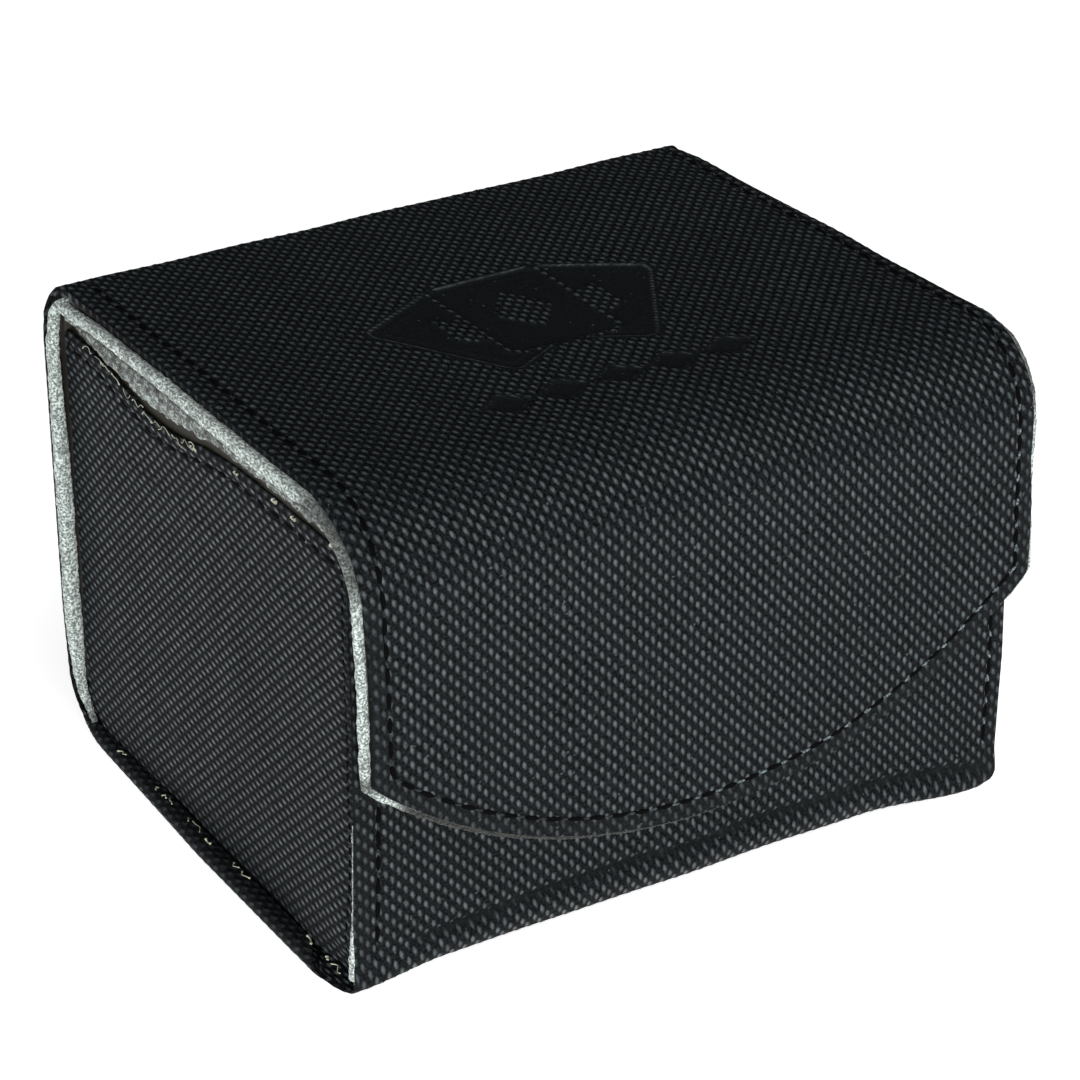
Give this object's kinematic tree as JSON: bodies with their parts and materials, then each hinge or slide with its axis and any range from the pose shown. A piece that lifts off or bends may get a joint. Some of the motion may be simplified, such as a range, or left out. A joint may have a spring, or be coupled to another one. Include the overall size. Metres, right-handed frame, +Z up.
{
  "type": "card deck box",
  "caption": "Wrapped board box for a deck of sleeved cards, with a soft-hinged lid and a curved front flap held shut by hidden magnets.",
  "frame": {"origin": "on the surface the box stands on, under the middle of the closed box", "axes": "+X to the right seen from the front and along the box's longest side, the front flap faces -Y, +Z up"},
  "size_m": [0.11, 0.0958, 0.0751],
  "materials": {
    "embossed_skin": "black synthetic skin embossed with a fine diagonal grid of raised pips, semi-matt",
    "board": "pressed grey board",
    "microfibre": "light grey brushed microfibre, fuzzy at its cut edges",
    "magnet_nickel": "nickel-plated disc magnet",
    "thread": "black twisted sewing thread"
  },
  "bodies": {
    "case": {"wrap_skin": "embossed_skin", "front_board": "board", "base_board": "board", "back_board": "board", "front_lining": "microfibre", "base_lining": "microfibre", "back_lining": "microfibre", "left_side_skin": "embossed_skin", "left_side_board": "board", "left_side_lining": "microfibre", "front_magnet_left": "magnet_nickel", "front_thread_left": "thread", "back_thread_left": "thread", "side_rim_thread_left": "thread", "side_corner_thread_left": "thread", "right_side_skin": "embossed_skin", "right_side_board": "board", "right_side_lining": "microfibre", "front_magnet_right": "magnet_nickel", "front_thread_right": "thread", "back_thread_right": "thread", "side_rim_thread_right": "thread", "side_corner_thread_right": "thread"},
    "lid": {"lid_skin": "embossed_skin", "lid_board": "board", "lid_lining": "microfibre", "hinge_skin": "embossed_skin", "hinge_lining": "microfibre", "lid_thread_left": "thread", "lid_thread_right": "thread"},
    "flap": {"bend_skin": "embossed_skin", "bend_lining": "microfibre", "flap_skin": "embossed_skin", "flap_board": "board", "flap_lining": "microfibre", "flap_thread": "thread", "flap_magnet_left": "magnet_nickel", "flap_magnet_right": "magnet_nickel"}
  },
  "joints": [
    {"name": "lid_hinge", "type": "hinge", "parent": "case", "child": "lid", "pos_m": [0, 0.04602, 0.07317], "axis": [-1, 0, 0], "range_deg": [0, 175], "deforming": ["hinge_skin", "hinge_lining"]},
    {"name": "flap_fold", "type": "hinge", "parent": "lid", "child": "flap", "pos_m": [0, -0.04366, 0.07081], "axis": [-1, 0, 0], "range_deg": [0, 90], "deforming": ["bend_skin", "bend_lining"]}
  ]
}
